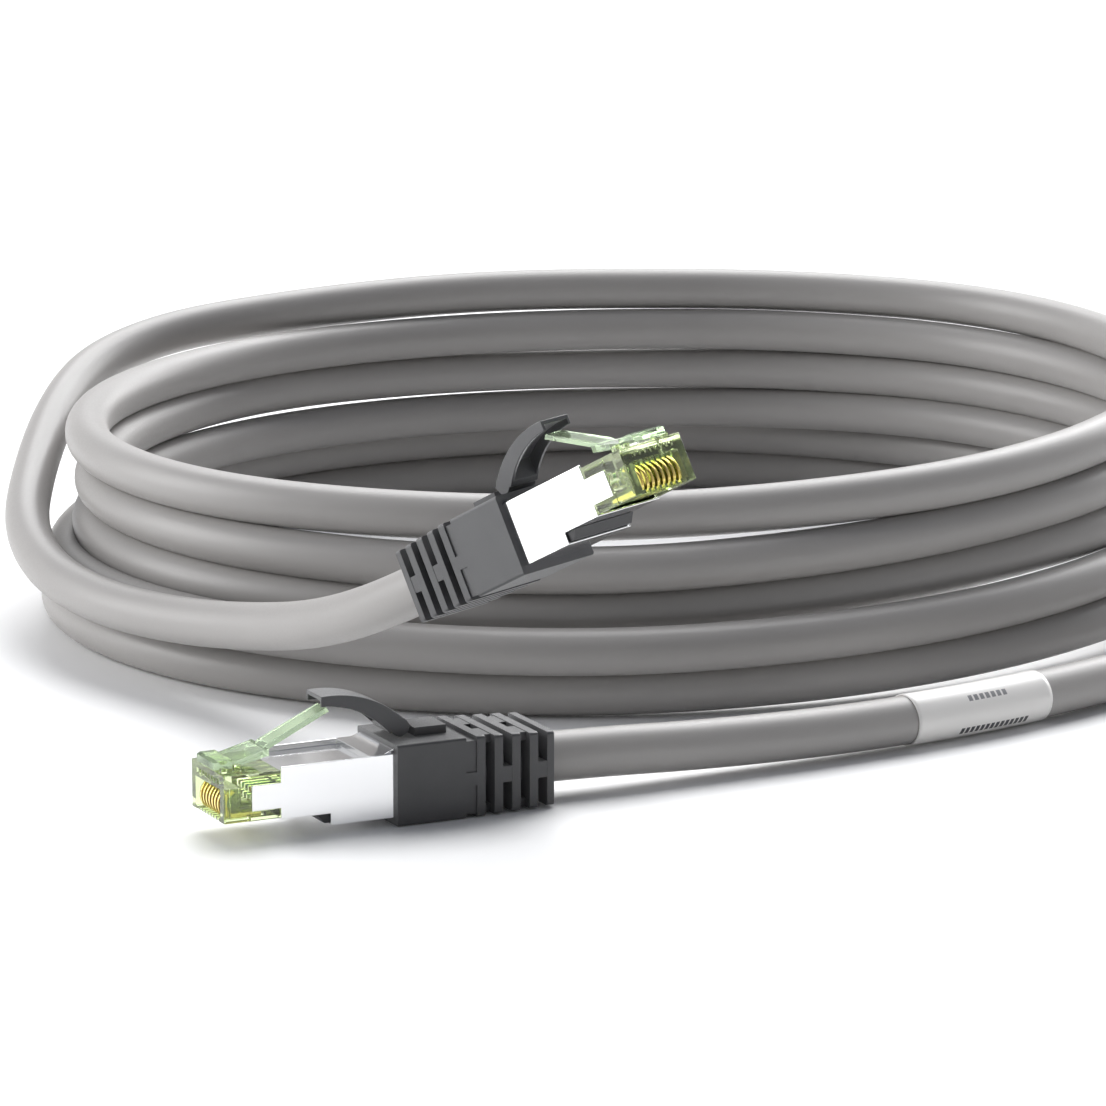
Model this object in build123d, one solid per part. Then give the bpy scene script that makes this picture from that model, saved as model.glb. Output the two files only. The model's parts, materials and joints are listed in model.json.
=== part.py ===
"""Coiled, shielded ethernet patch cable with two 8-way plugs. Millimetres, +Z up, standing on z = 0.

The origin is the middle of the flat underside of the near plug's boot. The near plug lies along X with
its nose towards -X; the far plug stands on the free end of the last, loose turn of the coil.
Each plug is drawn in its own frame: u runs from the nose face back to the cable, v is across,
w is up from the boot's underside.
"""
import os
from math import cos, hypot, pi, radians, sin, tan

from build123d import *

# ---- driving dimensions: cable ------------------------------------------------------------------
CABLE_D = 7.2
CABLE_R = CABLE_D / 2

# ---- driving dimensions: plug -------------------------------------------------------------------
NOSE_HALF_WIDTH = 5.84          # half of the 11.68 mm modular plug
NOSE_LOW, NOSE_HIGH = 3.1, 9.8  # underside and top of the nose above the boot's underside
NOSE_LENGTH = 4.1               # part of the clear housing that stands in front of the shield
WALL_LINE = 5.2                 # sideways start of the prongs
BODY_END = 19.0                 # the part of the housing inside the shield ends here
BODY_HALF, BODY_LOW, BODY_HIGH = 5.3, 3.5, 9.1
BAY_START, BAY_HALF, BAY_LOW, BAY_HIGH = 9.0, 4.5, 4.3, 8.4  # opening at the back, for the wire guide
WINDOW_DEPTH, WINDOW_HALF, WINDOW_LOW, WINDOW_HIGH = 1.3, 4.35, 3.6, 7.7
POCKET_LOW, POCKET_HIGH, POCKET_DEPTH = 8.3, 9.0, 0.4        # row of small pockets over the window
POST_INNER, POST_OUTER = 3.3, 4.1   # small stops on each side of the latch's root
PRONG_END = 8.35                # the housing's side prongs reach back over the shield to here
WAYS = 8
PITCH = 1.02
BLADE_THICK = 0.5
BLADE_FOOT, BLADE_SOLE, BLADE_TIP = 4.15, 3.4, 7.4
SLOT_HALF = 0.32                # half width of a contact slot
WIRE_R, WIRE_LOW, WIRE_HIGH = 0.48, 5.9, 7.15
WIRE_START, WIRE_END = 4.7, 27.4
SHIELD_HALF_WIDTH = 6.0
SHIELD_TOP = 10.3
SHIELD_LOW_FRONT, SHIELD_LOW_REAR = 2.85, 1.15
STEP_U = 15.8                   # where the shield drops to clear the thick cable
RECESS_FLOOR, RECESS_END = 9.5, 21.8
RAMP_TOP = 10.9
INNER_CEILING = 9.15
PRONG_CUT_LOW, PRONG_CUT_HIGH = 4.48, 8.12
SHEET = 0.3
KEEPER_HALF, KEEPER_LOW, KEEPER_HIGH = 5.6, 1.5, 2.8         # dark block in the mouth of the step
KEEPER_FRONT, KEEPER_SLANT, KEEPER_END = 13.9, 1.1, 25.0
BOOT_FRONT, BOOT_BLOCK_END, BOOT_REAR = 25.6, 36.1, 49.85
BOOT_HALF_WIDTH, BOOT_TOP = 6.8, 11.57
AXIS_W = 5.65                   # height of the cable's axis where it leaves the boot
RIB_PITCH, RIB_THICK, RIB_COUNT = 2.76, 1.3, 5
RIB_FIRST = 37.75
CORE_R = 4.25
WEB_THICK = 1.3
REAR_HALF_WIDTH, REAR_LOW, REAR_TOP = 6.45, 0.3, 11.0
PAD_FRONT, PAD_REAR, PAD_TOP = 30.1, 34.95, 12.75
GUARD_HALF_WIDTH, GUARD_WALL = 2.6, 0.5
GUARD_PIVOT = (27.95, 13.05)    # u, w
GUARD_BOW_CENTRE, GUARD_BOW_R = (17.3, 0, 2.22), 16.43
KNUCKLE_R = 1.35
LATCH_PIVOT = (1.2, 10.4)
LATCH_HALF_WIDTH, LEVER_HALF_WIDTH = 3.1, 1.6
CLAMP_R, BRAID_R, BORE_R = 4.6, 3.95, 3.65
JACKET_START = 28.2

# ---- driving dimensions: where things lie -------------------------------------------------------
ORIGIN_U = (BOOT_FRONT + BOOT_BLOCK_END) / 2
FAR_NOSE = (23.2, -34.9, 47.7)
FAR_HEADING, FAR_PITCH, FAR_ROLL = 106.45, 26.36, -4.42

# Lead-in: near plug, past the label, round the coil's right end and in under it.
LEAD_ROUTE = [
    (19.0, 0, 5.65), (29, -0.2, 5.5), (46, 0, 4.6), (70, 1, 4), (95.4, 4.6, 3.9), (122, 12.2, 3.9),
    (150.5, 24.4, 3.6), (174.9, 43.3, 3.6), (191.2, 68.4, 3.6), (198.1, 97.1, 3.6), (194.2, 126.8, 3.6),
    (181.9, 153.9, 3.6), (159.4, 176.1, 3.6),
]
LABEL_CORNER = 4                # the label is centred on this point of the lead-in
LABEL_LENGTH, LABEL_R = 23.6, 3.9
# Loose last turn: off the back of the coil, down its left side, along its front and up to the far plug.
TAIL_ROUTE = [
    (79.8, 198.9, 37.1), (57.6, 199, 35.8), (44, 197, 34.7), (32, 191.8, 33),
    (22, 183.6, 30.8), (11.9, 170.3, 26.7), (2.4, 154.6, 21), (-6.1, 136.8, 16), (-10, 116.7, 12.9),
    (-8.8, 96.6, 11.6), (-4, 78.3, 12), (0.7, 60, 14.2), (3.6, 40.4, 18.2), (6.16, 21.3, 24.9),
    (9.43, 10.21, 30.61),
]
# The coil's outer shape: an oval ring, wider at its right end, and higher at the back, where one more
# turn lies. Offsets are outwards from the oval, by eighths from the coil's right round by its back.
COIL_CENTRE = (88.8, 118.3)
COIL_OVAL, COIL_TURN = (90.0, 81.0), 4.93
RIGHT_HEADING = -26.07
OUTER_OFFSETS = [13.0, 9.2, 2.9, 1.0, 0.5, 4.0, 7.5, 6.5]
INNER_OFFSETS = [6.0, 2.0, -9.0, -4.5, -5.5, -2.5, -5.0, -0.5]
COIL_SIDES = 48
COIL_TOP, COIL_RISE = 36.8, 0.057   # height over the centre, and its rise for each mm towards the back


def block(u0, u1, v0, v1, w0, w1):
    """Box between two corners in a plug's own frame."""
    return Pos((u0 + u1) / 2, (v0 + v1) / 2, (w0 + w1) / 2) * Box(u1 - u0, v1 - v0, w1 - w0)


def rod(u0, u1, v, w, r):
    """Cylinder along u."""
    return Pos((u0 + u1) / 2, v, w) * Rot(Y=90) * Cylinder(r, u1 - u0)


def plate_v(points, half_width, v=0):
    """Side-view outline in u and w, extruded to both sides of v."""
    face = make_face(Plane.XZ * Polyline(*points, close=True))
    return Pos(0, v, 0) * extrude(face, half_width, both=True)


def curved_plate(edges, half_width, v=0):
    """Side-view outline of lines and arcs in u and w, extruded to both sides of v."""
    face = make_face([Plane.XZ * edge for edge in edges])
    return Pos(0, v, 0) * extrude(face, half_width, both=True)


def way_offsets():
    """Sideways place of each of the eight ways."""
    return [PITCH * (i - (WAYS - 1) / 2) for i in range(WAYS)]


# ---- plug pieces --------------------------------------------------------------------------------
def housing():
    """Clear nose with its eight contact slots, side prongs, and the insert that holds the wires."""
    nose = block(0, NOSE_LENGTH, -NOSE_HALF_WIDTH, NOSE_HALF_WIDTH, NOSE_LOW, NOSE_HIGH)
    nose = fillet(nose.edges().filter_by(Axis.Z).group_by(Axis.X)[0], 0.25)
    body = block(NOSE_LENGTH, BODY_END, -BODY_HALF, BODY_HALF, BODY_LOW, BODY_HIGH)
    prong_half = SHIELD_HALF_WIDTH - 0.05
    top_plate = block(NOSE_LENGTH, PRONG_END, -prong_half, prong_half, 9.35, NOSE_HIGH)
    solid = nose + body + top_plate
    for side in (-1, 1):
        v0, v1 = sorted((side * WALL_LINE, side * prong_half))
        for low, high in ((NOSE_LOW, PRONG_CUT_LOW - 0.08), (PRONG_CUT_HIGH + 0.08, NOSE_HIGH)):
            solid += block(NOSE_LENGTH - 0.4, PRONG_END, v0, v1, low, high)
        v0, v1 = sorted((side * POST_INNER, side * POST_OUTER))
        for u0, u1, top in ((2.3, 3.3, 10.75), (0.4, 1.2, 10.4)):
            solid += block(u0, u1, v0, v1, NOSE_HIGH, top)
    solid -= block(BAY_START, BODY_END + 1, -BAY_HALF, BAY_HALF, BAY_LOW, BAY_HIGH)
    solid -= block(-1, WINDOW_DEPTH, -WINDOW_HALF, WINDOW_HALF, WINDOW_LOW, WINDOW_HIGH)
    for v in way_offsets():
        v0, v1 = v - SLOT_HALF, v + SLOT_HALF
        solid -= block(-1, 3.0, v0, v1, NOSE_LOW - 1, WINDOW_HIGH - 0.1)
        solid -= block(0.5, 6.4, v0, v1, NOSE_LOW - 1, BLADE_FOOT + 0.45)
        solid -= block(-1, POCKET_DEPTH, v0, v1, POCKET_LOW, POCKET_HIGH)
        solid -= rod(WIRE_START - 0.2, BAY_START + 0.5, v, wire_height(v), WIRE_R + 0.04)
    return solid


def wire_height(v):
    """The wires are staggered in two rows, odd ways low and even ways high."""
    way = round(v / PITCH + (WAYS - 1) / 2)
    return WIRE_LOW if way % 2 == 0 else WIRE_HIGH


def contact_blades():
    """Eight sprung blades, bowed at the nose, with a foot under the wires."""
    front_foot, back_foot = (1.0, BLADE_SOLE), (6.0, BLADE_SOLE)
    tip, inner_foot, inner_tip = (1.7, BLADE_TIP), (1.7, BLADE_FOOT), (2.3, BLADE_TIP - 0.4)
    outline = [
        ThreePointArc(tip, (0.35, 5.2), front_foot), Line(front_foot, back_foot),
        Line(back_foot, (back_foot[0], BLADE_FOOT)), Line((back_foot[0], BLADE_FOOT), inner_foot),
        ThreePointArc(inner_foot, (1.05, 5.3), inner_tip), Line(inner_tip, tip),
    ]
    return [curved_plate(outline, BLADE_THICK / 2, v) for v in way_offsets()]


def wire_guide():
    """Comb that holds the wires, and a dark keeper that fills the mouth of the shield's step."""
    comb = block(10.0, 15.0, -BAY_HALF + 0.1, BAY_HALF - 0.1, BAY_LOW + 0.1, BAY_HIGH - 0.1)
    for v in way_offsets():
        comb -= rod(9, 16, v, wire_height(v), WIRE_R + 0.05)
    keeper = plate_v([(KEEPER_FRONT, KEEPER_HIGH), (KEEPER_FRONT + KEEPER_SLANT, KEEPER_LOW),
                      (KEEPER_END, KEEPER_LOW), (KEEPER_END, KEEPER_HIGH)], KEEPER_HALF)
    return [comb, keeper]


def conductors():
    return [rod(WIRE_START, WIRE_END, v, wire_height(v), WIRE_R) for v in way_offsets()]


def shield():
    """Folded sheet round the housing: sunk top with a ramp, cut back for the prongs, stepped below."""
    half, inner = SHIELD_HALF_WIDTH, SHIELD_HALF_WIDTH - SHEET
    start, end = NOSE_LENGTH - 1, BOOT_FRONT + 2.4
    front = block(NOSE_LENGTH, STEP_U, -half, half, SHIELD_LOW_FRONT, SHIELD_TOP)
    rear = block(STEP_U, end, -half, half, SHIELD_LOW_REAR, SHIELD_TOP)
    shell = front + rear
    shell -= block(start, STEP_U + SHEET, -inner, inner, SHIELD_LOW_FRONT + SHEET, INNER_CEILING)
    shell -= block(STEP_U + SHEET, end + 1, -inner, inner, SHIELD_LOW_REAR + SHEET, INNER_CEILING)
    shell -= block(STEP_U - 1, STEP_U + 1, -inner, inner, SHIELD_LOW_REAR + SHEET, SHIELD_LOW_FRONT)
    shell -= block(start, RECESS_END, -inner, inner, RECESS_FLOOR, SHIELD_TOP + 1)
    shell -= block(start, PRONG_END + 0.05, -half - 1, half + 1, PRONG_CUT_HIGH, SHIELD_TOP + 1)
    shell -= block(start, PRONG_END + 0.05, -half - 1, half + 1, SHIELD_LOW_REAR, PRONG_CUT_LOW)
    ramp = plate_v([(RECESS_END, RECESS_FLOOR - 0.2), (BOOT_FRONT, RECESS_FLOOR - 0.2),
                    (BOOT_FRONT, RAMP_TOP), (RECESS_END, RECESS_FLOOR)], inner)
    return shell + ramp


def cable_clamp():
    ring = rod(BOOT_FRONT + 2.6, 35.6, 0, AXIS_W, CLAMP_R) - rod(20, 40, 0, AXIS_W, BRAID_R + 0.02)
    return ring - block(28, 36, -0.4, 0.4, 0, AXIS_W)


def braid_cuff():
    return rod(28.6, 34.6, 0, AXIS_W, BRAID_R) - rod(20, 40, 0, AXIS_W, CABLE_R + 0.02)


def jacket_end():
    return rod(JACKET_START, BOOT_REAR, 0, AXIS_W, CABLE_R)


def rib_size(index):
    """Half width, underside and top of one collar; they shrink a little towards the cable."""
    share = index / (RIB_COUNT - 1)
    half = BOOT_HALF_WIDTH + (REAR_HALF_WIDTH - BOOT_HALF_WIDTH) * share
    return half, REAR_LOW * share, BOOT_TOP + (REAR_TOP - BOOT_TOP) * share


def rib(index):
    """One square collar of the boot."""
    u0 = RIB_FIRST + RIB_PITCH * index
    u1 = BOOT_REAR if index == RIB_COUNT - 1 else u0 + RIB_THICK
    half, low, top = rib_size(index)
    collar = block(u0, u1, -half, half, low, top)
    return fillet(collar.edges().filter_by(Axis.X), 0.45)


def boot():
    """Strain relief: a block over the shield's tail, then five collars on a core, with open gaps."""
    front = block(BOOT_FRONT, BOOT_BLOCK_END, -BOOT_HALF_WIDTH, BOOT_HALF_WIDTH, 0, BOOT_TOP)
    front = fillet(front.edges().filter_by(Axis.X), 0.4)
    neck_half, neck_low, neck_top = BOOT_HALF_WIDTH - 0.25, 0.5, BOOT_TOP - 0.6
    neck = block(BOOT_BLOCK_END, RIB_FIRST, -neck_half, neck_half, neck_low, neck_top)
    pad = block(PAD_FRONT, PAD_REAR, -GUARD_HALF_WIDTH, GUARD_HALF_WIDTH, BOOT_TOP - 0.5, PAD_TOP)
    solid = front + neck + pad + rod(RIB_FIRST, BOOT_REAR, 0, AXIS_W, CORE_R)
    for side in (-1, 1):
        v0, v1 = sorted((side * neck_half, side * BOOT_HALF_WIDTH))
        solid += block(BOOT_BLOCK_END, RIB_FIRST, v0, v1, 4.6, 6.5)
    for index in range(RIB_COUNT):
        solid += rib(index)
        if index < RIB_COUNT - 1:
            start = RIB_FIRST + RIB_PITCH * index + RIB_THICK
            solid += webs(start - 0.1, start + RIB_PITCH - RIB_THICK + 0.1, index)
    # room for the shield's tail, the clamp and the cable
    solid -= block(20, 28.1, -SHIELD_HALF_WIDTH, SHIELD_HALF_WIDTH, SHIELD_LOW_REAR, SHIELD_TOP)
    solid -= rod(27, 36, 0, AXIS_W, CLAMP_R + 0.05)
    solid -= rod(27, BOOT_REAR + 1, 0, AXIS_W, BORE_R)
    return solid


def webs(u0, u1, index):
    """Links across one gap: above and below in even gaps, at the two sides in odd ones."""
    half, low, top = rib_size(index + 1)
    if index % 2 == 0:
        levels = ((low + 0.1, low + WEB_THICK), (top - WEB_THICK, top - 0.1))
        spans = [(v, w) for v in ((-5.2, -1.4), (1.4, 5.2)) for w in levels]
    else:
        level = (AXIS_W - 1.15, AXIS_W + 1.15)
        spans = [((-half + 0.05, -CORE_R + 0.4), level), ((CORE_R - 0.4, half - 0.05), level)]
    return [block(u0, u1, *v, *w) for v, w in spans]


def latch_guard():
    """Bowed channel that rides over the latch so that it can't snag, hinged on the boot."""
    root_back, root_front, end_top, end_low = (29.7, 13.0), (26.4, 12.3), (16.0, 18.6), (16.0, 17.15)
    outline = [
        ThreePointArc(root_back, (25.6, 16.4), end_top), Line(end_top, end_low),
        ThreePointArc(end_low, (23.2, 15.05), root_front), Line(root_front, root_back),
    ]
    arm = curved_plate(outline, GUARD_HALF_WIDTH)
    knuckle = Pos(GUARD_PIVOT[0], 0, GUARD_PIVOT[1]) * Rot(X=90) * Cylinder(KNUCKLE_R, 2 * GUARD_HALF_WIDTH)
    inner_half = GUARD_HALF_WIDTH - GUARD_WALL
    bow = Pos(*GUARD_BOW_CENTRE) * Rot(X=90) * Cylinder(GUARD_BOW_R - GUARD_WALL - 0.1, 2 * inner_half)
    channel = bow & block(15, 25.8, -inner_half, inner_half, 10, 20)
    return arm - channel + knuckle


def latch():
    """Clear latch: root over the nose, wide locking shoulders, narrow lever up into the guard."""
    shoulder = [(-0.3, 10.1), (-0.3, 11.1), (0.2, 11.4), (2.4, 11.4), (2.4, 10.9), (7.9, 12.3)]
    shoulder += [(7.9, 11.3), (2.4, 10.1)]
    lever = [(7.2, 11.9), (8.4, 12.75), (17.2, 16.8), (17.6, 16.2), (9.0, 12.1), (7.4, 11.2)]
    return plate_v(shoulder, LATCH_HALF_WIDTH) + plate_v(lever, LEVER_HALF_WIDTH)


# ---- cable --------------------------------------------------------------------------------------
def corner_radii(points):
    """0.45 of the shorter run beside each corner, divided by the tangent of half the turn."""
    radii = []
    for before, here, after in zip(points, points[1:], points[2:]):
        run_in, run_out = Vector(here) - Vector(before), Vector(after) - Vector(here)
        half_turn = radians(run_in.get_angle(run_out)) / 2
        radii.append(0.45 * min(run_in.length, run_out.length) / tan(half_turn))
    return radii


def tube(points, radius, radii):
    """Round tube along straight runs joined by tangent arcs."""
    path = FilletPolyline(*points, radius=radii)
    start = Plane(origin=path @ 0, z_dir=path % 0)
    solid = sweep(start * Circle(radius), path=path)
    return solid, path.length


def label_sleeve():
    """Printed sleeve wrapped round the lead-in, on the same arc as the cable inside it."""
    before, here, after = [Vector(p) for p in LEAD_ROUTE[LABEL_CORNER - 1:LABEL_CORNER + 2]]
    radii = corner_radii([before, here, after])
    start = here + (before - here).normalized() * (LABEL_LENGTH / 2)
    end = here + (after - here).normalized() * (LABEL_LENGTH / 2)
    outer, _ = tube([start, here, end], LABEL_R, radii)
    inner, _ = tube([start, here, end], CABLE_R, radii)
    return outer - inner


def coil_edge(offsets, extra):
    """Closed outline round the coil: the oval, plus offsets blended from each eighth to the next."""
    half_long, half_short = COIL_OVAL
    points = []
    for i in range(COIL_SIDES):
        angle = 2 * pi * i / COIL_SIDES
        on_oval = angle + radians(RIGHT_HEADING - COIL_TURN)
        radius = half_long * half_short / hypot(half_short * cos(on_oval), half_long * sin(on_oval))
        eighth, share = divmod(8 * i / COIL_SIDES, 1)
        ease = (1 - cos(pi * share)) / 2
        here, following = offsets[int(eighth)], offsets[(int(eighth) + 1) % 8]
        radius += here + (following - here) * ease + extra
        heading = angle + radians(RIGHT_HEADING)
        points.append((COIL_CENTRE[0] + radius * cos(heading), COIL_CENTRE[1] + radius * sin(heading)))
    return make_face(Polyline(*points, close=True))


def coil_ring():
    """Outer shape of the coil: an oval ring whose top slopes down towards the front."""
    outline = coil_edge(OUTER_OFFSETS, CABLE_R) - coil_edge(INNER_OFFSETS, -CABLE_R)
    ring = extrude(outline, COIL_TOP + 10)
    uphill = radians(RIGHT_HEADING + 90)
    normal = (-COIL_RISE * cos(uphill), -COIL_RISE * sin(uphill), 1)
    top = Plane(origin=(*COIL_CENTRE, COIL_TOP), z_dir=normal)
    return split(ring, bisect_by=top, keep=Keep.BOTTOM)


# ---- assembly -----------------------------------------------------------------------------------
PLUG_PIECES = {
    "plug_housing": housing, "contact_blades": contact_blades, "wire_guide": wire_guide,
    "conductors": conductors, "shield_shell": shield, "cable_clamp": cable_clamp,
    "braid_cuff": braid_cuff, "jacket_end": jacket_end, "boot": boot,
    "latch_guard": latch_guard, "latch": latch,
}
NEAR_PLACE = Pos(-ORIGIN_U, 0, 0)
FAR_PLACE = Pos(*FAR_NOSE) * Rot(Z=FAR_HEADING) * Rot(Y=FAR_PITCH) * Rot(X=FAR_ROLL)


def save(name, shapes):
    shapes = shapes if isinstance(shapes, list) else [shapes]
    solids = [solid for shape in shapes for solid in shape.solids()]
    export_step(solids[0] if len(solids) == 1 else Compound(children=solids), f"parts/{name}.step")


def point_in_row(place, u, v, w):
    return (place * Pos(u, v, w)).position


def main():
    os.makedirs("parts", exist_ok=True)
    for prefix, place in (("near", NEAR_PLACE), ("far", FAR_PLACE)):
        for piece, make in PLUG_PIECES.items():
            made = make()
            made = made if isinstance(made, list) else [made]
            save(f"{prefix}_{piece}", [place * shape for shape in made])
        for name, (u, w) in (("guard pivot", GUARD_PIVOT), ("latch pivot", LATCH_PIVOT)):
            print(prefix, name, point_in_row(place, u, 0, w))
        print(prefix, "cable exit", point_in_row(place, BOOT_REAR, 0, AXIS_W))
        print(prefix, "nose middle", point_in_row(place, 0, 0, (NOSE_LOW + NOSE_HIGH) / 2))
        print(prefix, "v axis", point_in_row(place, 0, 1, 0) - point_in_row(place, 0, 0, 0))
        print(prefix, "u axis", point_in_row(place, 1, 0, 0) - point_in_row(place, 0, 0, 0))

    for name, route in (("cord_lead", LEAD_ROUTE), ("cord_tail", TAIL_ROUTE)):
        radii = corner_radii(route)
        solid, length = tube(route, CABLE_R, radii)
        save(name, solid)
        print(name, "radii", [round(r) for r in radii], "length", round(length, 1),
              "volume share", round(solid.volume / (pi * CABLE_R ** 2 * length), 4))
    save("cord_coil", coil_ring())
    save("label_sleeve", label_sleeve())


main()
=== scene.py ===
# %% [markdown]
# # A coiled, shielded ethernet patch cable
# The cable is one long NURBS tube. At each end is a modular plug: a clear nose with gold contacts, a
# plated shield, a charcoal boot with five collars, and a bowed guard over the latch. The working parts
# come from the CAD frame, so this lesson is about the cable's line, edges that catch light, and finishes.

# %% Load the frame
import json
from math import pi, radians

import bmesh
import bpy
import numpy as np
from mathutils import Matrix, Vector


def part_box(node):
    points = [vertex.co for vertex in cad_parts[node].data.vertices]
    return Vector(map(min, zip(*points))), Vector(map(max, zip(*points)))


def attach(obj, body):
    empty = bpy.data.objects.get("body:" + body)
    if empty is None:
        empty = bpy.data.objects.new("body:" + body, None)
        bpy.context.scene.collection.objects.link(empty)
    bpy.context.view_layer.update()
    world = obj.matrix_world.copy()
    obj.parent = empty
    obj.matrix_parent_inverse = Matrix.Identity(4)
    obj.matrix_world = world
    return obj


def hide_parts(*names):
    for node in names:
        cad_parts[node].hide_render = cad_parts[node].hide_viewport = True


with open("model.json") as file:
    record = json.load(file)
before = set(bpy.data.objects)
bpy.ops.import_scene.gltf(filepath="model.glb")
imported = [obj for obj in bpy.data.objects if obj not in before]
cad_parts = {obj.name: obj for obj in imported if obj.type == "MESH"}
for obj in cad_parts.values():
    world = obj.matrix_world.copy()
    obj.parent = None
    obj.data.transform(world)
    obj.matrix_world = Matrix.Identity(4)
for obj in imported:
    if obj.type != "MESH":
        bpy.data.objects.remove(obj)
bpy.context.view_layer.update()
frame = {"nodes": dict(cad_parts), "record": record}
MM = 0.001

# %% [markdown]
# ## The camera
# A long lens from low down and well back keeps the coil's runs nearly parallel, as in a product picture.
# It looks 12 degrees down, so the floor fills the whole frame and no backdrop is needed.

# %% Camera
CAMERA_PLACE = (-0.3043, -0.6669, 0.1928)
CAMERA_TILT, CAMERA_HEADING = radians(78), radians(-26.07)
LENS, SENSOR = 175.8, 36.0
camera_data = bpy.data.cameras.new("camera")
camera_data.lens = LENS
camera_data.sensor_width = SENSOR
camera_data.clip_start, camera_data.clip_end = 0.02, 40.0
camera = bpy.data.objects.new("camera", camera_data)
camera.location = CAMERA_PLACE
camera.rotation_euler = (CAMERA_TILT, 0.0, CAMERA_HEADING)
bpy.context.scene.collection.objects.link(camera)
bpy.context.scene.camera = camera
print("camera", tuple(round(v, 3) for v in camera.location))

# %% [markdown]
# ## The cable's route
# A patch cable is one length from plug to plug. It could be several curves that meet, but a joint always
# shows, so it is one spline. The lead-in and the loose last turn are listed points. The turns of
# the coil between them are worked out: an oval, pushed in or out and raised by two small tables that say
# how each turn lies at every eighth of the way round.

# %% Listed stretches, in millimetres
CABLE_R = 3.6
LEAD_ROUTE = [
    (19.0, 0, 5.65), (29, -0.2, 5.5), (46, 0, 4.6), (70, 1, 4), (95.4, 4.6, 3.9), (122, 12.2, 3.9),
    (150.5, 24.4, 3.6), (174.9, 43.3, 3.6), (191.2, 68.4, 3.6), (198.1, 97.1, 3.6), (194.2, 126.8, 3.6),
    (181.9, 153.9, 3.6),
]
TAIL_ROUTE = [
    (101.0, 195.8, 37.9), (79.8, 198.9, 37.1), (57.6, 199, 35.8), (44, 197, 34.7), (32, 191.8, 33),
    (22, 183.6, 30.8), (11.9, 170.3, 26.7), (2.4, 154.6, 21), (-6.1, 136.8, 16), (-10, 116.7, 12.9),
    (-8.8, 96.6, 11.6), (-4, 78.3, 12), (0.7, 60, 14.2), (3.6, 40.4, 18.2), (6.16, 21.3, 24.9),
    (9.43, 10.21, 30.61),
]

# %% The coil's turns
COIL_CENTRE = (88.8, 118.3)
COIL_LONG, COIL_SHORT, COIL_TURN = 90.0, 81.0, radians(31)
RIGHT_HEADING = radians(-26.07)
POINTS_PER_TURN = 16
FIRST_QUARTER, LAST_QUARTER = 0.75, 21.0
# one row for each turn, from the lowest; the columns go round by eighths from the right, by the back
OUTWARD = np.array([
    [17, 9.2, 1.3, 0.9, 0.5, 3, 5, 6],
    [13, 5, 2.9, 1, -1, 4, 7.5, 6.5],
    [10, 2, -5, -4.5, -5, -1.5, -1.8, -0.5],
    [10, 3, -6.5, -1.5, -5.5, -2, 0, 1.2],
    [8, 3, -9, -3, -3.5, -2.5, -5, 1.5],
    [6, 6.5, -6.5, -6.5, -6.5, -6.5, -6.5, -6.5],
])
HEIGHT = np.array([
    [3.6, 3.6, 3.6, 3.6, 3.6, 3.6, 3.6, 4.8],
    [7.4, 9.8, 10.5, 10.6, 10.7, 10.4, 10.2, 11.5],
    [14.1, 16.2, 16.2, 16.2, 16, 14.8, 14, 16.9],
    [21, 22.9, 23.8, 23.4, 22.9, 21.7, 21, 23.8],
    [27.8, 29.9, 31.2, 30.2, 29.7, 28.7, 28.3, 30.8],
    [34.9, 36.6, 38.1, 38.1, 38.1, 38.1, 38.1, 38.1],
])


def eased(table, quarters):
    """Value of a table read row after row: a cosine ease from each entry to the next."""
    flat = table.reshape(-1)
    index = np.floor(2 * quarters).astype(int)
    ease = (1 - np.cos(pi * (2 * quarters - index))) / 2
    following = np.minimum(index + 1, len(flat) - 1)
    return flat[index] * (1 - ease) + flat[following] * ease


def coil_points():
    """Polar curve: radius of an oval plus the outward offset, against the angle. A quadratic spline cuts
    inside its control points by a share that depends on their angle, so the radius grows by that share."""
    steps = np.arange(FIRST_QUARTER * POINTS_PER_TURN / 4, LAST_QUARTER * POINTS_PER_TURN / 4 + 0.5)
    quarters = steps * 4 / POINTS_PER_TURN
    angle = quarters * pi / 2
    around = angle - COIL_TURN
    oval = COIL_LONG * COIL_SHORT / np.hypot(COIL_SHORT * np.cos(around), COIL_LONG * np.sin(around))
    growth = 1 / (0.75 + 0.25 * np.cos(2 * pi / POINTS_PER_TURN))
    radius = (oval + eased(OUTWARD, quarters)) * growth
    heading = angle + RIGHT_HEADING
    x = COIL_CENTRE[0] + radius * np.cos(heading)
    y = COIL_CENTRE[1] + radius * np.sin(heading)
    return np.stack([x, y, eased(HEIGHT, quarters)], axis=1)


route = np.vstack([LEAD_ROUTE, coil_points(), TAIL_ROUTE]) * MM
print("route points", len(route))

# %% The spline
TUBE_STEPS, TUBE_SIDES = 10, 14


def cable_curve(name, points, radius):
    """Open NURBS spline of order 3 through the route, as a round tube of the given radius."""
    data = bpy.data.curves.new(name, "CURVE")
    data.dimensions = "3D"
    spline = data.splines.new("NURBS")
    spline.points.add(len(points) - 1)
    weights = np.ones((len(points), 1))
    spline.points.foreach_set("co", np.hstack([points, weights]).ravel())
    spline.order_u = 3
    spline.use_endpoint_u = True
    spline.resolution_u = TUBE_STEPS
    data.bevel_depth = radius
    data.bevel_resolution = TUBE_SIDES
    data.use_fill_caps = True
    curve = bpy.data.objects.new(name, data)
    bpy.context.scene.collection.objects.link(curve)
    return curve


def centre_line(points):
    """The points that the spline passes through, read from a copy with no tube round it."""
    thread = cable_curve("thread", points, 0.0)
    mesh = bpy.data.meshes.new_from_object(thread)
    line = np.empty(len(mesh.vertices) * 3)
    mesh.vertices.foreach_get("co", line)
    bpy.data.objects.remove(thread)
    bpy.data.meshes.remove(mesh)
    return line.reshape(-1, 3)


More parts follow.
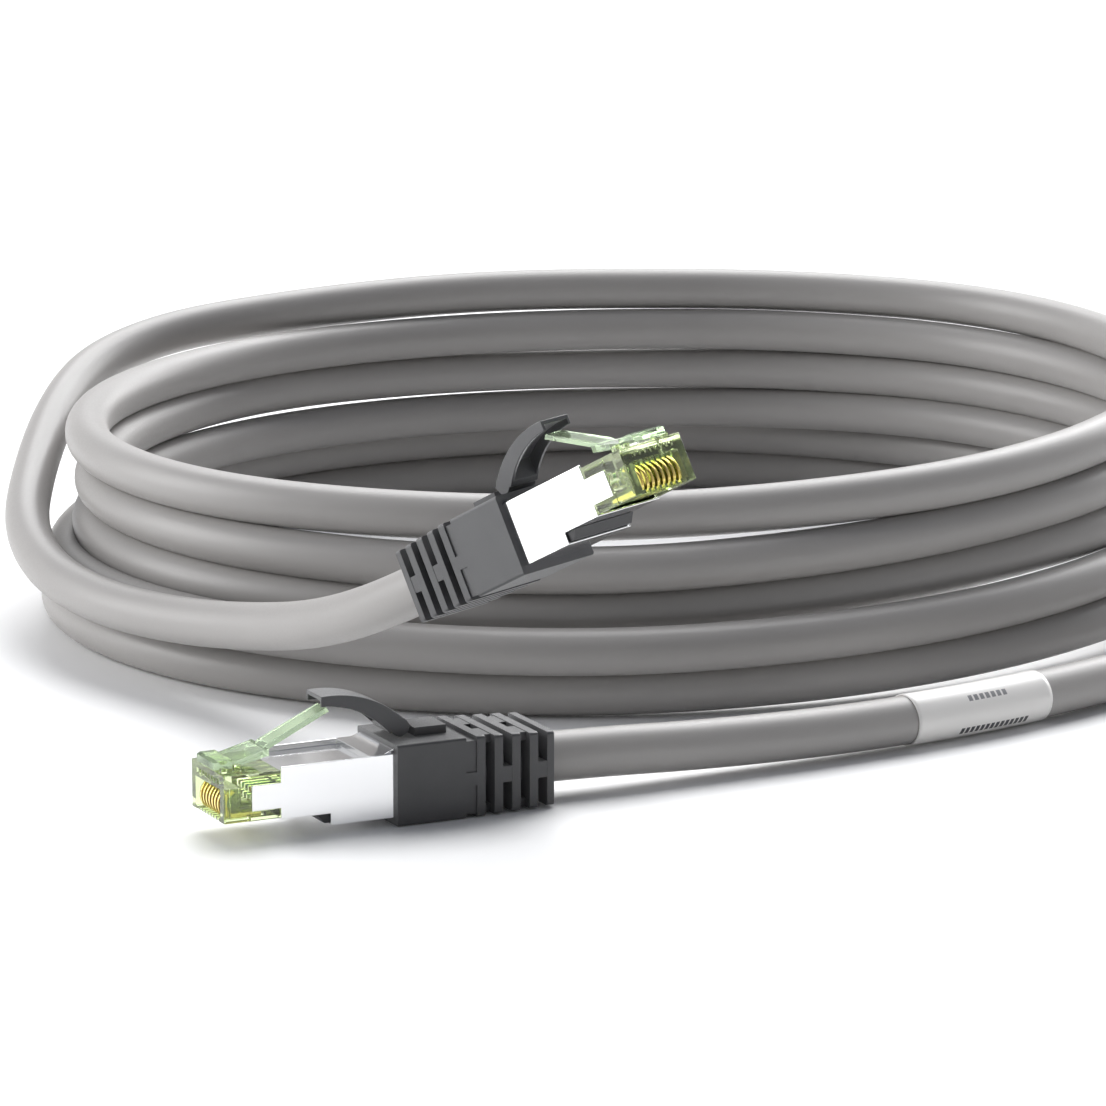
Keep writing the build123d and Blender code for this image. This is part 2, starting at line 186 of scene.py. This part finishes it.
cable = cable_curve("cable", route, CABLE_R * MM)
line = centre_line(route)
steps = np.linalg.norm(np.diff(line, axis=0), axis=1)
along = np.concatenate([[0], np.cumsum(steps)])
print("cable length", round(along[-1], 3), "m, lowest centre", round(line[:, 2].min() / MM, 2), "mm")

# %% [markdown]
# ## Where each plug sits
# Both plugs are the same part in different places. Each has two hinges in the record, one for the guard
# and one for the latch, and the line between them, with the hinge axis, gives the plug's own axes:
# u from the nose back to the cable, v across, and w up. Pieces and patterns can then be drawn once.

# %% Plug axes
GUARD_PIVOT, LATCH_PIVOT = (27.95, 13.05), (1.2, 10.4)
hinges = {joint["name"]: joint for joint in frame["record"]["behaviour"]["joints"]}


def plug_matrix(side):
    """Matrix from a plug's own axes, in metres, to the frame's."""
    guard, latch = hinges[side + "_guard_press"], hinges[side + "_latch_press"]
    across = Vector(latch["axis"]).normalized()
    chord = (Vector(guard["pos_m"]) - Vector(latch["pos_m"])).normalized()
    square = chord.cross(across)
    local = Vector((GUARD_PIVOT[0] - LATCH_PIVOT[0], GUARD_PIVOT[1] - LATCH_PIVOT[1])).normalized()
    back = chord * local.x - square * local.y
    up = chord * local.y + square * local.x
    origin = Vector(latch["pos_m"]) - back * LATCH_PIVOT[0] * MM - up * LATCH_PIVOT[1] * MM
    matrix = Matrix((back, across, up)).transposed().to_4x4()
    matrix.translation = origin
    return matrix


PLUGS = {side: plug_matrix(side) for side in ("near", "far")}
for side, matrix in PLUGS.items():
    print(side, "nose at", tuple(round(v / MM, 1) for v in matrix.translation))

# %% [markdown]
# ## Finishes
# Moulded and extruded plastic is never quite smooth. It could be a flat colour with some roughness, but
# light then slides over it as on paint, so each plastic has a fine grain in its bump and its roughness.

# %% Helpers for node materials
SPARK_GRAIN, SKIN_GRAIN, FLOW_LINES = 5200, 2600, 420   # noise cells per metre, finest first


def finish(name, colour, roughness, metallic=0.0, **sockets):
    """New material and its shader, with constants set on the shader's own sockets."""
    material = bpy.data.materials.new(name)
    material.use_nodes = True
    shader = material.node_tree.nodes["Principled BSDF"]
    shader.inputs["Base Color"].default_value = (*colour, 1)
    shader.inputs["Roughness"].default_value = roughness
    shader.inputs["Metallic"].default_value = metallic
    for socket, value in sockets.items():
        shader.inputs[socket.replace("_", " ")].default_value = value
    return material, shader


def add(material, kind, **settings):
    """New node of a kind, with its settings."""
    node = material.node_tree.nodes.new("ShaderNode" + kind)
    for key, value in settings.items():
        setattr(node, key, value)
    return node


def join(material, output, *inputs):
    for socket in inputs:
        material.node_tree.links.new(output, socket)


def place_on(material, matrix=None, stretch=(1, 1, 1)):
    """Object coordinates, turned into a plug's own axes where a matrix is given, then stretched."""
    output = add(material, "TexCoord").outputs["Object"]
    if matrix is not None:
        turned = add(material, "Mapping", vector_type="TEXTURE")
        turned.inputs["Location"].default_value = matrix.translation
        turned.inputs["Rotation"].default_value = matrix.to_euler()
        join(material, output, turned.inputs["Vector"])
        output = turned.outputs["Vector"]
    stretched = add(material, "Mapping")
    stretched.inputs["Scale"].default_value = stretch
    join(material, output, stretched.inputs["Vector"])
    return stretched.outputs["Vector"]


def noise(material, vector, scale, detail=3.0, roughness=0.5):
    """Cloudy noise from 0 to 1; scale is in cells per metre."""
    node = add(material, "TexNoise")
    node.inputs["Scale"].default_value = scale
    node.inputs["Detail"].default_value = detail
    node.inputs["Roughness"].default_value = roughness
    join(material, vector, node.inputs["Vector"])
    return node.outputs["Fac"]


def spread(material, value, low, high, start=0.25, end=0.75):
    """The value, taken from start and end to low and high."""
    node = add(material, "MapRange")
    for socket, number in (("From Min", start), ("From Max", end), ("To Min", low), ("To Max", high)):
        node.inputs[socket].default_value = number
    join(material, value, node.inputs["Value"])
    return node.outputs["Result"]


def mix(material, share, first, second):
    """Colour between first and second; each is a colour or another node's output."""
    node = add(material, "Mix", data_type="RGBA")
    join(material, share, node.inputs["Factor"])
    for socket, colour in ((node.inputs[6], first), (node.inputs[7], second)):
        if isinstance(colour, tuple):
            socket.default_value = (*colour, 1)
        else:
            join(material, colour, socket)
    return node.outputs[2]


def emboss(material, shader, height, strength, depth):
    """Bump of the given depth in metres."""
    node = add(material, "Bump")
    node.inputs["Strength"].default_value = strength
    node.inputs["Distance"].default_value = depth
    join(material, height, node.inputs["Height"])
    join(material, node.outputs["Normal"], shader.inputs["Normal"])


print("material helpers ready")

# %% Cable jacket: warm grey, satin, extruded
def jacket_finish():
    material, shader = finish("cable_jacket", (0.32, 0.309, 0.3), 0.42, Specular_IOR_Level=0.45)
    vector = place_on(material)
    cloud = noise(material, vector, 60, 2)
    skin = noise(material, vector, SKIN_GRAIN, 2)
    tint = mix(material, cloud, (0.335, 0.323, 0.314), (0.308, 0.297, 0.289))
    join(material, tint, shader.inputs["Base Color"])
    join(material, spread(material, skin, 0.36, 0.5), shader.inputs["Roughness"])
    emboss(material, shader, skin, 0.25, 0.00004)
    return material


JACKET = jacket_finish()
print("jacket", JACKET.name)

# %% Boot plastic: charcoal with spark-eroded grain
def boot_finish():
    material, shader = finish("boot_plastic", (0.05, 0.05, 0.053), 0.4, Sheen_Weight=0.22)
    vector = place_on(material)
    grain = noise(material, vector, SPARK_GRAIN, 4, 0.65)
    cloud = noise(material, vector, 240, 3)
    tint = mix(material, cloud, (0.043, 0.043, 0.046), (0.059, 0.059, 0.062))
    join(material, tint, shader.inputs["Base Color"])
    join(material, spread(material, grain, 0.3, 0.5), shader.inputs["Roughness"])
    emboss(material, shader, grain, 0.5, 0.00005)
    return material


BOOT = boot_finish()
print("boot", BOOT.name)

# %% Clear polycarbonate, for the housing and the latch
def clear_finish(name, colour):
    material, shader = finish(name, colour, 0.03, Transmission_Weight=0.93, IOR=1.47)
    vector = place_on(material)
    flow = noise(material, vector, FLOW_LINES, 2)
    join(material, spread(material, flow, 0.02, 0.06), shader.inputs["Roughness"])
    emboss(material, shader, flow, 0.1, 0.00004)
    return material


CLEAR_HOUSING = clear_finish("clear_housing", (0.86, 0.97, 0.6))
CLEAR_LATCH = clear_finish("clear_latch", (0.78, 0.97, 0.66))
print("clear plastics", CLEAR_HOUSING.name, CLEAR_LATCH.name)

# %% [markdown]
# ## Metals
# Nickel-plated sheet is bright, with faint rolling marks along the strip. The marks are noise stretched
# along the plug, read in the plug's own axes so that they run the same way on both plugs.

# %% Plated shield, gold, clamp and braid
def shield_finish(side):
    material, shader = finish("plated_shield_" + side, (0.94, 0.94, 0.95), 0.12, 1.0)
    vector = place_on(material, PLUGS[side], (0.05, 1, 1))
    rolled = noise(material, vector, SPARK_GRAIN, 3)
    smudge = noise(material, place_on(material), 130, 3)
    both = mix(material, smudge, (0.92, 0.925, 0.94), (0.96, 0.96, 0.96))
    join(material, both, shader.inputs["Base Color"])
    join(material, spread(material, rolled, 0.07, 0.16), shader.inputs["Roughness"])
    emboss(material, shader, rolled, 0.12, 0.00001)
    return material


def gold_finish():
    material, shader = finish("gold_contacts", (0.9, 0.72, 0.26), 0.2, 1.0)
    wear = noise(material, place_on(material), 2400, 3)
    tint = mix(material, wear, (0.92, 0.74, 0.28), (0.78, 0.59, 0.17))
    join(material, tint, shader.inputs["Base Color"])
    join(material, spread(material, wear, 0.14, 0.3), shader.inputs["Roughness"])
    return material


def clamp_finish(side):
    material, shader = finish("clamp_metal_" + side, (0.6, 0.6, 0.62), 0.32, 1.0)
    vector = place_on(material, PLUGS[side], (1, 0.1, 0.1))
    turned = noise(material, vector, SPARK_GRAIN, 3)
    join(material, spread(material, turned, 0.24, 0.42), shader.inputs["Roughness"])
    emboss(material, shader, turned, 0.2, 0.00002)
    return material


WEAVE_SCALE = 620


def braid_finish(side):
    """Two sets of slanting wires: the higher of two waves that cross. The grooves between the wires are
    painted darker, as painted shade.
    """
    material, shader = finish("braid_" + side, (0.55, 0.52, 0.5), 0.35, 1.0)
    weave = []
    for slope in (1, -1):
        vector = place_on(material, PLUGS[side], (1, slope, 1))
        wave = add(material, "TexWave", wave_type="BANDS", bands_direction="DIAGONAL")
        wave.inputs["Scale"].default_value = WEAVE_SCALE
        join(material, vector, wave.inputs["Vector"])
        weave.append(wave.outputs["Fac"])
    higher = add(material, "Math", operation="MAXIMUM")
    join(material, weave[0], higher.inputs[0])
    join(material, weave[1], higher.inputs[1])
    # painted shade: the colour is dark where the weave is low, in the grooves between the wires, and
    # bright on the wires
    tint = mix(material, higher.outputs[0], (0.2, 0.17, 0.15), (0.68, 0.64, 0.6))
    join(material, tint, shader.inputs["Base Color"])
    emboss(material, shader, higher.outputs[0], 0.6, 0.0001)
    return material


GOLD = gold_finish()
SHIELD = {side: shield_finish(side) for side in PLUGS}
CLAMP = {side: clamp_finish(side) for side in PLUGS}
BRAID = {side: braid_finish(side) for side in PLUGS}
print("metals", GOLD.name, *(material.name for material in SHIELD.values()))

# %% Wires: eight insulation colours, by place across the plug
WIRE_PITCH = 1.02
WIRE_COLOURS = [
    (0.75, 0.5, 0.3), (0.72, 0.25, 0.04), (0.5, 0.68, 0.5), (0.05, 0.12, 0.45),
    (0.45, 0.52, 0.72), (0.04, 0.32, 0.09), (0.62, 0.52, 0.44), (0.16, 0.07, 0.03),
]


def wire_finish(side):
    """A stepped ramp across the plug: one colour for each pitch."""
    material, shader = finish("wire_insulation_" + side, (0.7, 0.7, 0.66), 0.38)
    apart = add(material, "SeparateXYZ")
    join(material, place_on(material, PLUGS[side]), apart.inputs[0])
    half_span = len(WIRE_COLOURS) / 2 * WIRE_PITCH * MM
    across = spread(material, apart.outputs["Y"], 0, 1, -half_span, half_span)
    ramp = add(material, "ValToRGB")
    ramp.color_ramp.interpolation = "CONSTANT"
    stops = ramp.color_ramp.elements
    stops[0].color = (*WIRE_COLOURS[0], 1)
    stops[1].position = 1 / len(WIRE_COLOURS)
    stops[1].color = (*WIRE_COLOURS[1], 1)
    for index, colour in enumerate(WIRE_COLOURS[2:], 2):
        stops.new(index / len(WIRE_COLOURS)).color = (*colour, 1)
    join(material, across, ramp.inputs["Fac"])
    join(material, ramp.outputs["Color"], shader.inputs["Base Color"])
    return material


def guide_finish():
    material, shader = finish("guide_plastic", (0.016, 0.016, 0.018), 0.4)
    grain = noise(material, place_on(material), SKIN_GRAIN, 3)
    join(material, spread(material, grain, 0.34, 0.48), shader.inputs["Roughness"])
    emboss(material, shader, grain, 0.3, 0.00003)
    return material


WIRES = {side: wire_finish(side) for side in PLUGS}
GUIDE = guide_finish()
print("wire colours", len(WIRE_COLOURS))

# %% [markdown]
# ## Edges
# A moulded or stamped edge is never a knife edge: it has a small radius, and that is what catches light.
# The CAD meshes are left as they are. Each visible one is copied, its doubled points are merged, its flat
# faces are joined up, and a Bevel modifier rounds its edges. Smooth shading alone would then spread each
# rounded edge over the whole face, so a Weighted Normal modifier lets the largest face decide. The copy
# stands in for the CAD node.

# %% Rounded copies of the CAD shapes
FLAT_ANGLE, EDGE_ANGLE = radians(1.0), radians(25)
MERGE_WITHIN, BEVEL_SEGMENTS = 1e-6, 2
NODES = frame["nodes"]


def dress(piece, material):
    piece.data.materials.clear()
    piece.data.materials.append(material)


def rounded(node, body, material, radius):
    """Copy of a CAD node with its edges rounded to the radius, in millimetres."""
    shape = bmesh.new()
    shape.from_mesh(NODES[node].data)
    bmesh.ops.remove_doubles(shape, verts=shape.verts, dist=MERGE_WITHIN)
    bmesh.ops.dissolve_limit(shape, angle_limit=FLAT_ANGLE, verts=shape.verts, edges=shape.edges)
    mesh = bpy.data.meshes.new(node + "_skin")
    shape.to_mesh(mesh)
    shape.free()
    mesh.shade_smooth()
    piece = bpy.data.objects.new(node + "_skin", mesh)
    bpy.context.scene.collection.objects.link(piece)
    bevel = piece.modifiers.new("rounded edges", "BEVEL")
    bevel.width = radius * MM
    bevel.segments = BEVEL_SEGMENTS
    bevel.limit_method = "ANGLE"
    bevel.angle_limit = EDGE_ANGLE
    bevel.use_clamp_overlap = True
    shading = piece.modifiers.new("flat faces stay flat", "WEIGHTED_NORMAL")
    shading.mode = "FACE_AREA"
    shading.weight = 100
    dress(piece, material)
    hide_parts(node)
    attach(piece, body)
    return piece


SKINS = {}
for side in PLUGS:
    for name, body, slot, material, radius in (
        ("boot", "root", "boot_plastic", BOOT, 0.14),
        ("latch_guard", side + "_guard", "boot_plastic", BOOT, 0.12),
        ("plug_housing", "root", "clear_housing", CLEAR_HOUSING, 0.07),
        ("latch", side + "_latch", "clear_latch", CLEAR_LATCH, 0.08),
        ("shield_shell", "root", "plated_shield", SHIELD[side], 0.1),
        ("contact_blades", "root", "gold_contacts", GOLD, 0.06),
    ):
        node = side + "_" + name
        SKINS[node] = rounded(node, body, material, radius)
print("rounded copies", len(SKINS))

# %% Finishes on the CAD nodes that stay
for side in PLUGS:
    dress(NODES[side + "_cable_clamp"], CLAMP[side])
    dress(NODES[side + "_braid_cuff"], BRAID[side])
    dress(NODES[side + "_jacket_end"], JACKET)
    dress(NODES[side + "_wire_guide"], GUIDE)
    dress(NODES[side + "_conductors"], WIRES[side])
print("inner pieces dressed")

# %% [markdown]
# ## The label
# A printed sleeve is wrapped round the lead near the plug. It could be a short cylinder, but the cable
# bends there, so it is a ring profile carried along the cable's own centre line. Its ends are rounded and
# its print is two rows of plain bars, placed with the sleeve's own coordinates.

# %% Sleeve
LABEL_OUTER, LABEL_INNER, LABEL_HALF = 3.83, 3.62, 12.9
LABEL_SHIFT = -1.5              # towards the near plug from the middle of the CAD sleeve
LABEL_RINGS, LABEL_SIDES = 40, 64
RIM = 0.05                      # how far the rounded rim stands out past the sleeve's end
NEARBY = 0.001                  # step along the cable for reading its direction


def along_line(distance):
    """Points and unit directions of the cable's centre line at distances along it."""
    points = np.stack([np.interp(distance, along, line[:, axis]) for axis in range(3)], axis=1)
    ahead = np.stack([np.interp(distance + NEARBY, along, line[:, axis]) for axis in range(3)], axis=1)
    behind = np.stack([np.interp(distance - NEARBY, along, line[:, axis]) for axis in range(3)], axis=1)
    direction = ahead - behind
    return points, direction / np.linalg.norm(direction, axis=1)[:, None]


def skin_mesh(name, grid, uv):
    """Quads over a grid of points of shape (rows, columns, 3), which closes round both ways."""
    rows, columns = grid.shape[:2]
    row, column = np.meshgrid(np.arange(rows), np.arange(columns), indexing="ij")
    next_row, next_column = (row + 1) % rows, (column + 1) % columns
    corners = [(row, column), (next_row, column), (next_row, next_column), (row, next_column)]
    faces = np.stack([r * columns + c for r, c in corners], axis=-1).reshape(-1, 4)
    mesh = bpy.data.meshes.new(name)
    mesh.from_pydata(grid.reshape(-1, 3), [], faces)
    layer = mesh.uv_layers.new(name="UVMap")
    wrap_row, wrap_column = np.where(next_row == 0, rows, next_row), column + 1
    ends = [(row, column), (wrap_row, column), (wrap_row, wrap_column), (row, wrap_column)]
    values = np.stack([np.stack(uv(r, c), axis=-1) for r, c in ends], axis=2)
    layer.data.foreach_set("uv", values.ravel())
    mesh.shade_smooth()
    return mesh


def link(name, mesh):
    piece = bpy.data.objects.new(name, mesh)
    bpy.context.scene.collection.objects.link(piece)
    return piece


def label_sleeve(middle):
    """Ring profile along the centre line: out along the outer radius, round the rim and back inside."""
    half = LABEL_HALF * MM
    there = np.linspace(-half, half, LABEL_RINGS)
    rim = np.array([0.0, RIM, RIM, 0.0]) * MM
    offset = np.concatenate([there, half + rim, there[::-1], -half - rim])
    rim_radius = np.linspace(LABEL_OUTER, LABEL_INNER, 6)[1:-1]
    radius = np.concatenate([
        np.full(LABEL_RINGS, LABEL_OUTER), rim_radius, np.full(LABEL_RINGS, LABEL_INNER), rim_radius[::-1],
    ]) * MM
    points, direction = along_line(middle + offset)
    up = np.array([0.0, 0.0, 1.0])
    sideways = np.cross(direction, up)
    sideways /= np.linalg.norm(sideways, axis=1)[:, None]
    lift = np.cross(sideways, direction)
    angle = np.linspace(0, 2 * pi, LABEL_SIDES, endpoint=False)
    ring = sideways[:, None] * np.cos(angle)[:, None] + lift[:, None] * np.sin(angle)[:, None]
    grid = points[:, None] + ring * radius[:, None, None]
    spacing = offset / half / 2 + 0.5

    def uv(row, column):
        return spacing[row % len(spacing)], column / LABEL_SIDES

    mesh = skin_mesh("label", grid, uv)
    shape = bmesh.new()
    shape.from_mesh(mesh)
    bmesh.ops.recalc_face_normals(shape, faces=shape.faces)
    shape.to_mesh(mesh)
    shape.free()
    return link("label", mesh)


LEAD_SEARCH = 0.2               # the label is on the first part of the cable
label_low, label_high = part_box("label_sleeve")
label_centre = (np.array(label_low) + np.array(label_high)) / 2
lead_part = line[along < LEAD_SEARCH]
middle = along[np.linalg.norm(lead_part - label_centre, axis=1).argmin()]
label = label_sleeve(middle + LABEL_SHIFT * MM)
print("label centred", round(middle, 4), "m along the cable")

# %% Label finish
LABEL_WHITE = (0.76, 0.745, 0.725)
BAR_START, BAR_END = 0.12, 0.8  # inked part of each bar's share of its row
# for each row: its place round the sleeve, half its height, its start and end, the bars, and the ink
BAR_ROWS = (
    (0.115, 0.02, 0.37, 0.67, 7, (0.24, 0.24, 0.25)), (0.9, 0.026, 0.31, 0.83, 14, (0.05, 0.05, 0.055)),
)


def label_finish():
    """White film. Two rows of bars: a bar is inked where a repeating ramp along the row is low."""
    material, shader = finish("label_film", LABEL_WHITE, 0.3, Specular_IOR_Level=0.6)
    apart = add(material, "SeparateXYZ")
    join(material, add(material, "TexCoord").outputs["UV"], apart.inputs[0])
    colour = LABEL_WHITE

    def maths(operation, first, second):
        node = add(material, "Math", operation=operation)
        for socket, value in zip(node.inputs, (first, second)):
            if isinstance(value, (int, float)):
                socket.default_value = value
            else:
                join(material, value, socket)
        return node.outputs[0]

    def inside(value, low, high):
        return maths("MULTIPLY", maths("GREATER_THAN", value, low), maths("LESS_THAN", value, high))

    for row, half_height, start, end, bars, ink in BAR_ROWS:
        share = spread(material, apart.outputs["X"], 0, bars, start, end)
        bar = inside(maths("FRACT", share, 0), BAR_START, BAR_END)
        band = inside(apart.outputs["Y"], row - half_height, row + half_height)
        stretch = inside(apart.outputs["X"], start, end)
        inked = maths("MULTIPLY", maths("MULTIPLY", bar, band), stretch)
        colour = mix(material, inked, colour, ink)
    join(material, colour, shader.inputs["Base Color"])
    film = noise(material, place_on(material), 500, 2)
    join(material, spread(material, film, 0.32, 0.38), shader.inputs["Roughness"])
    return material


dress(label, label_finish())
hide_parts("label_sleeve")
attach(label, "root")
print("label dressed")

cable.data.materials.append(JACKET)
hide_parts("cord_lead", "cord_coil", "cord_tail")
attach(cable, "root")
on_cable = [label] + [SKINS[name] for name in SKINS if name.startswith("far_")]
on_cable += [NODES["far_" + name] for name in (
    "cable_clamp", "braid_cuff", "jacket_end", "wire_guide", "conductors",
)]
print("pieces on the cable", len(on_cable))

# %% [markdown]
# ## Floor and light
# A white table and a big soft light overhead, a little behind, give the tubes a broad pale top and a dark
# underside. One soft light at each side brightens the coil's ends. The surroundings are brightest at the
# horizon, for the plated shield to mirror, cooler above, and dimmer in front than behind.

# %% Floor
FLOOR_HALF, FLOOR_HEIGHT = 6.0, -0.0001
floor_mesh = bpy.data.meshes.new("floor")
corners = [(x * FLOOR_HALF, y * FLOOR_HALF, FLOOR_HEIGHT) for x, y in ((-1, -1), (1, -1), (1, 1), (-1, 1))]
floor_mesh.from_pydata(corners, [], [(0, 1, 2, 3)])
floor = link("floor", floor_mesh)
floor_paint, _ = finish("floor_white", (0.93, 0.93, 0.93), 0.35, Specular_IOR_Level=0.3)
dress(floor, floor_paint)
print("floor", 2 * FLOOR_HALF, "m")

# %% Lights
def soft_light(name, place, aim, size, watts):
    """Square area light that faces the aim point."""
    data = bpy.data.lights.new(name, "AREA")
    data.size = size
    data.energy = watts
    lamp = bpy.data.objects.new(name, data)
    lamp.location = place
    lamp.rotation_euler = (Vector(aim) - Vector(place)).to_track_quat("-Z", "Y").to_euler()
    bpy.context.scene.collection.objects.link(lamp)


SUN_FROM, SUN_SPREAD, SUN_STRENGTH = (0.4, 0.6, 1.0), radians(50), 3.4
sun_data = bpy.data.lights.new("overhead", "SUN")
sun_data.angle = SUN_SPREAD
sun_data.energy = SUN_STRENGTH
sun = bpy.data.objects.new("overhead", sun_data)
sun.rotation_euler = Vector(SUN_FROM).to_track_quat("Z", "Y").to_euler()
bpy.context.scene.collection.objects.link(sun)
soft_light("left", (-1.2, 0.75, 0.55), (0.05, 0.1, 0.02), 1.0, 20)
soft_light("right", (1.3, 0.8, 0.7), (0.12, 0.1, 0.02), 1.0, 16)
print("lights", [lamp.name for lamp in bpy.data.lights])

# %% Surroundings
HORIZON, OVERHEAD = (1, 1, 1, 1), (0.32, 0.35, 0.42, 1)
HORIZON_END, OVERHEAD_START = 0.15, 0.8     # heights on the unit sphere
BEHIND_COIL = (0.439, 0.898, 0.0)
DIM, BRIGHT = 0.3, 0.75
world = bpy.data.worlds.new("studio")
bpy.context.scene.world = world
bpy.context.scene.view_settings.view_transform = "Standard"
world.use_nodes = True
sky = world.node_tree
background = sky.nodes["Background"]
direction = sky.nodes.new("ShaderNodeTexCoord")
split = sky.nodes.new("ShaderNodeSeparateXYZ")
ramp = sky.nodes.new("ShaderNodeValToRGB")
for stop, colour, height in zip(
    ramp.color_ramp.elements, (HORIZON, OVERHEAD), (HORIZON_END, OVERHEAD_START),
):
    stop.color = colour
    stop.position = height
facing = sky.nodes.new("ShaderNodeVectorMath")
facing.operation = "DOT_PRODUCT"
facing.inputs[1].default_value = BEHIND_COIL
strength = sky.nodes.new("ShaderNodeMapRange")
for socket, number in (("From Min", -1), ("From Max", 1), ("To Min", DIM), ("To Max", BRIGHT)):
    strength.inputs[socket].default_value = number
sky.links.new(direction.outputs["Generated"], split.inputs[0])
sky.links.new(split.outputs["Z"], ramp.inputs["Fac"])
sky.links.new(ramp.outputs["Color"], background.inputs["Color"])
sky.links.new(direction.outputs["Generated"], facing.inputs[0])
sky.links.new(facing.outputs["Value"], strength.inputs["Value"])
sky.links.new(strength.outputs["Result"], background.inputs["Strength"])
print("surroundings", world.name)
